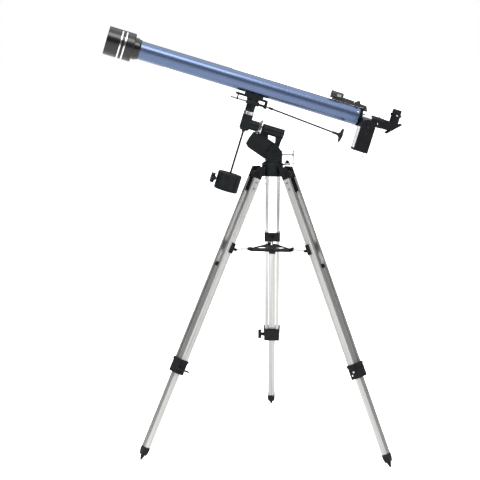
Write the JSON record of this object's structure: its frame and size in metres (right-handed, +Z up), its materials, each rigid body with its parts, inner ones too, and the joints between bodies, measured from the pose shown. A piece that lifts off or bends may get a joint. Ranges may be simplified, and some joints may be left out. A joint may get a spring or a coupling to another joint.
{
  "type": "telescope on tripod",
  "caption": "Refracting telescope with star diagonal, finder and geared focuser on a small equatorial mount, standing on a telescoping three-legged stand with a tray.",
  "frame": {"origin": "on the floor under the tripod's centre line", "axes": "+Z up, -X the way the objective points, +Y the side away from the clamp of the slow-motion control and the focus drive"},
  "size_m": [1.0115, 0.7854, 1.4307],
  "materials": {
    "blue_tube": "metallic gloss paint",
    "black_plastic": "fine-grained moulded plastic",
    "gloss_black": "gloss",
    "black_casting": "satin black paint over cast metal",
    "aluminium": "satin anodised extrusion",
    "chrome": "polished plating",
    "steel": "turned",
    "lens_glass": "coated",
    "mirror": "front silvered"
  },
  "bodies": {
    "stand": {"tripod_hub": "black_casting", "leg_hinge_bolts": "steel"},
    "azimuth_lock": {"azimuth_lock": "black_plastic"},
    "tray": {"accessory_tray": "black_plastic"},
    "base": {"azimuth_base": "black_casting", "pivot_bolt": "steel"},
    "latitude_bolt": {"latitude_bolt": "steel"},
    "polar_head": {"polar_head": "black_casting"},
    "polar_circle": {"polar_circle": "aluminium"},
    "dec_housing": {"dec_housing": "black_casting", "polar_shaft": "steel", "counterweight_rod": "steel"},
    "dec_circle": {"dec_circle": "aluminium"},
    "counterweight": {"counterweight": "black_casting"},
    "weight_knob": {"weight_knob": "gloss_black"},
    "tube": {"saddle": "black_casting", "dec_shaft": "steel", "telescope_tube": "blue_tube", "objective_cell": "gloss_black", "objective_lens": "lens_glass", "focuser_body": "black_plastic", "focus_drive_case": "black_plastic", "focus_drive_cover": "black_plastic", "finder_body": "black_plastic"},
    "worm_shaft": {"worm_shaft": "steel"},
    "slow_motion_control": {"slow_motion_control": "gloss_black"},
    "dew_shield": {"dew_shield": "gloss_black"},
    "drawtube": {"focus_drawtube": "chrome", "drawtube_collar": "black_plastic"},
    "focus_pinion": {"focus_pinion": "black_plastic"},
    "focus_switch": {"focus_switch": "black_plastic"},
    "diagonal": {"star_diagonal": "black_plastic", "diagonal_cover": "black_plastic", "diagonal_mirror": "mirror"},
    "eyepiece": {"eyepiece": "black_plastic"},
    "finder_knob": {"finder_knob": "black_plastic"},
    "back_leg": {"back_leg_rails": "aluminium", "back_leg_bracket": "black_plastic", "back_leg_clamp": "black_plastic", "back_strut_bracket": "black_casting"},
    "back_lower_leg": {"back_leg_slider": "aluminium", "back_foot": "black_plastic"},
    "back_clamp_screw": {"back_clamp_screw": "black_plastic"},
    "back_strut": {"back_strut": "aluminium"},
    "left_leg": {"left_leg_rails": "aluminium", "left_leg_bracket": "black_plastic", "left_leg_clamp": "black_plastic", "left_strut_bracket": "black_casting"},
    "left_lower_leg": {"left_leg_slider": "aluminium", "left_foot": "black_plastic"},
    "left_clamp_screw": {"left_clamp_screw": "black_plastic"},
    "left_strut": {"left_strut": "aluminium"},
    "right_leg": {"right_leg_rails": "aluminium", "right_leg_bracket": "black_plastic", "right_leg_clamp": "black_plastic", "right_strut_bracket": "black_casting"},
    "right_lower_leg": {"right_leg_slider": "aluminium", "right_foot": "black_plastic"},
    "right_clamp_screw": {"right_clamp_screw": "black_plastic"},
    "right_strut": {"right_strut": "aluminium"}
  },
  "joints": [
    {"name": "back_leg_fold", "type": "hinge", "parent": "stand", "child": "back_leg", "pos_m": [0.00932, 0.0613, 0.94515], "axis": [-0.9886, 0.1504, 0], "range_deg": [0, 11]},
    {"name": "back_leg_slide", "type": "slide", "parent": "back_leg", "child": "back_lower_leg", "axis": [-0.061, -0.4007, 0.9142], "range_m": [-0.2, 0.245]},
    {"name": "back_clamp_screw_turn", "type": "hinge", "parent": "back_leg", "child": "back_clamp_screw", "pos_m": [0.05205, 0.34216, 0.3043], "axis": [-0.9886, 0.1504, 0], "continuous": true},
    {"name": "back_strut_fold", "type": "hinge", "parent": "back_leg", "child": "back_strut", "pos_m": [0.02067, 0.13585, 0.69115], "axis": [-0.9886, 0.1504, 0], "range_deg": [0, 76.59]},
    {"name": "left_leg_fold", "type": "hinge", "parent": "stand", "child": "left_leg", "pos_m": [-0.05774, -0.02257, 0.94515], "axis": [0.3641, -0.9314, 0], "range_deg": [0, 11.1]},
    {"name": "left_leg_slide", "type": "slide", "parent": "left_leg", "child": "left_lower_leg", "axis": [0.3775, 0.1475, 0.9142], "range_m": [-0.2, 0.245]},
    {"name": "left_clamp_screw_turn", "type": "hinge", "parent": "left_leg", "child": "left_clamp_screw", "pos_m": [-0.32235, -0.126, 0.3043], "axis": [0.3641, -0.9314, 0], "continuous": true},
    {"name": "left_strut_fold", "type": "hinge", "parent": "left_leg", "child": "left_strut", "pos_m": [-0.12798, -0.05003, 0.69115], "axis": [0.3641, -0.9314, 0], "range_deg": [0, 76.59]},
    {"name": "right_leg_fold", "type": "hinge", "parent": "stand", "child": "right_leg", "pos_m": [0.04842, -0.03872, 0.94515], "axis": [0.6246, 0.781, 0], "range_deg": [0, 11.1]},
    {"name": "right_leg_slide", "type": "slide", "parent": "right_leg", "child": "right_lower_leg", "axis": [-0.3165, 0.2531, 0.9142], "range_m": [-0.2, 0.245]},
    {"name": "right_clamp_screw_turn", "type": "hinge", "parent": "right_leg", "child": "right_clamp_screw", "pos_m": [0.2703, -0.21616, 0.3043], "axis": [0.6246, 0.781, 0], "continuous": true},
    {"name": "right_strut_fold", "type": "hinge", "parent": "right_leg", "child": "right_strut", "pos_m": [0.10731, -0.08582, 0.69115], "axis": [0.6246, 0.781, 0], "range_deg": [0, 76.59]},
    {"name": "tray_lift", "type": "slide", "parent": "stand", "child": "tray", "axis": [0, 0, 1], "range_m": [0, 0.04338]},
    {"name": "azimuth_lock_turn", "type": "hinge", "parent": "stand", "child": "azimuth_lock", "pos_m": [0.04792, -0.01744, 0.97615], "axis": [0, 0, 1], "continuous": true},
    {"name": "azimuth_turn", "type": "hinge", "parent": "stand", "child": "base", "pos_m": [0, 0, 0.96515], "axis": [0, 0, 1], "continuous": true},
    {"name": "latitude_bolt_turn", "type": "hinge", "parent": "base", "child": "latitude_bolt", "pos_m": [0.05, 0, 1.008], "axis": [1, 0, 0], "continuous": true},
    {"name": "latitude_tilt", "type": "hinge", "parent": "base", "child": "polar_head", "pos_m": [0.007, 0, 1.016], "axis": [0, 1, 0], "range_deg": [-3, 30]},
    {"name": "polar_circle_turn", "type": "hinge", "parent": "polar_head", "child": "polar_circle", "pos_m": [-0.04321, 0, 1.09905], "axis": [0.9603, 0, -0.279], "continuous": true},
    {"name": "polar_turn", "type": "hinge", "parent": "polar_head", "child": "dec_housing", "pos_m": [0, 0, 1.0865], "axis": [0.9603, 0, -0.279], "range_deg": [-90, 90]},
    {"name": "dec_circle_turn", "type": "hinge", "parent": "dec_housing", "child": "dec_circle", "pos_m": [-0.08349, 0, 1.14824], "axis": [0.279, 0, 0.9603], "continuous": true},
    {"name": "dec_turn", "type": "hinge", "parent": "dec_housing", "child": "tube", "pos_m": [-0.09353, 0, 1.11367], "axis": [0.279, 0, 0.9603], "continuous": true},
    {"name": "weight_slide", "type": "slide", "parent": "dec_housing", "child": "counterweight", "axis": [0.279, 0, 0.9603], "range_m": [0, 0.08]},
    {"name": "weight_knob_turn", "type": "hinge", "parent": "counterweight", "child": "weight_knob", "pos_m": [-0.19916, 0, 0.92932], "axis": [0.9603, 0, -0.279], "continuous": true},
    {"name": "worm_turn", "type": "hinge", "parent": "tube", "child": "worm_shaft", "pos_m": [-0.07339, -0.018, 1.183], "axis": [0.9603, 0, -0.279], "continuous": true},
    {"name": "slow_motion_turn", "type": "hinge", "parent": "tube", "child": "slow_motion_control", "pos_m": [-0.01769, -0.018, 1.16682], "axis": [0.9385, 0, -0.3453], "continuous": true},
    {"name": "dew_shield_slide", "type": "slide", "parent": "tube", "child": "dew_shield", "axis": [-0.9603, 0, 0.279], "range_m": [0, 0.06]},
    {"name": "focus_slide", "type": "slide", "parent": "tube", "child": "drawtube", "axis": [0.9603, 0, -0.279], "range_m": [-0.004, 0.05]},
    {"name": "focus_pinion_turn", "type": "hinge", "parent": "tube", "child": "focus_pinion", "pos_m": [0.30916, 0, 1.10904], "axis": [0, 1, 0], "range_deg": [-39, 468]},
    {"name": "focus_switch_tilt", "type": "hinge", "parent": "tube", "child": "focus_switch", "pos_m": [0.30205, -0.052, 1.02363], "axis": [0, 1, 0], "range_deg": [-12, 12]},
    {"name": "diagonal_turn", "type": "hinge", "parent": "drawtube", "child": "diagonal", "pos_m": [0.37506, 0, 1.11363], "axis": [0.9603, 0, -0.279], "continuous": true},
    {"name": "eyepiece_lift", "type": "slide", "parent": "diagonal", "child": "eyepiece", "axis": [0.279, 0, 0.9603], "range_m": [0, 0.03]},
    {"name": "finder_knob_turn", "type": "hinge", "parent": "tube", "child": "finder_knob", "pos_m": [0.28708, 0, 1.18606], "axis": [0, 1, 0], "range_deg": [0, 270]}
  ],
  "couplings": [
    {"joint": "back_strut_fold", "follows": "back_leg_fold", "ratio": 6.8718},
    {"joint": "left_leg_fold", "follows": "back_leg_fold", "ratio": 1},
    {"joint": "left_strut_fold", "follows": "back_leg_fold", "ratio": 6.8718},
    {"joint": "right_leg_fold", "follows": "back_leg_fold", "ratio": 1},
    {"joint": "right_strut_fold", "follows": "back_leg_fold", "ratio": 6.8718},
    {"joint": "tray_lift", "follows": "back_leg_fold", "m_per_rad": 0.22491},
    {"joint": "worm_turn", "follows": "slow_motion_turn", "ratio": 1},
    {"joint": "focus_pinion_turn", "follows": "focus_slide", "rad_per_m": 162.6}
  ]
}
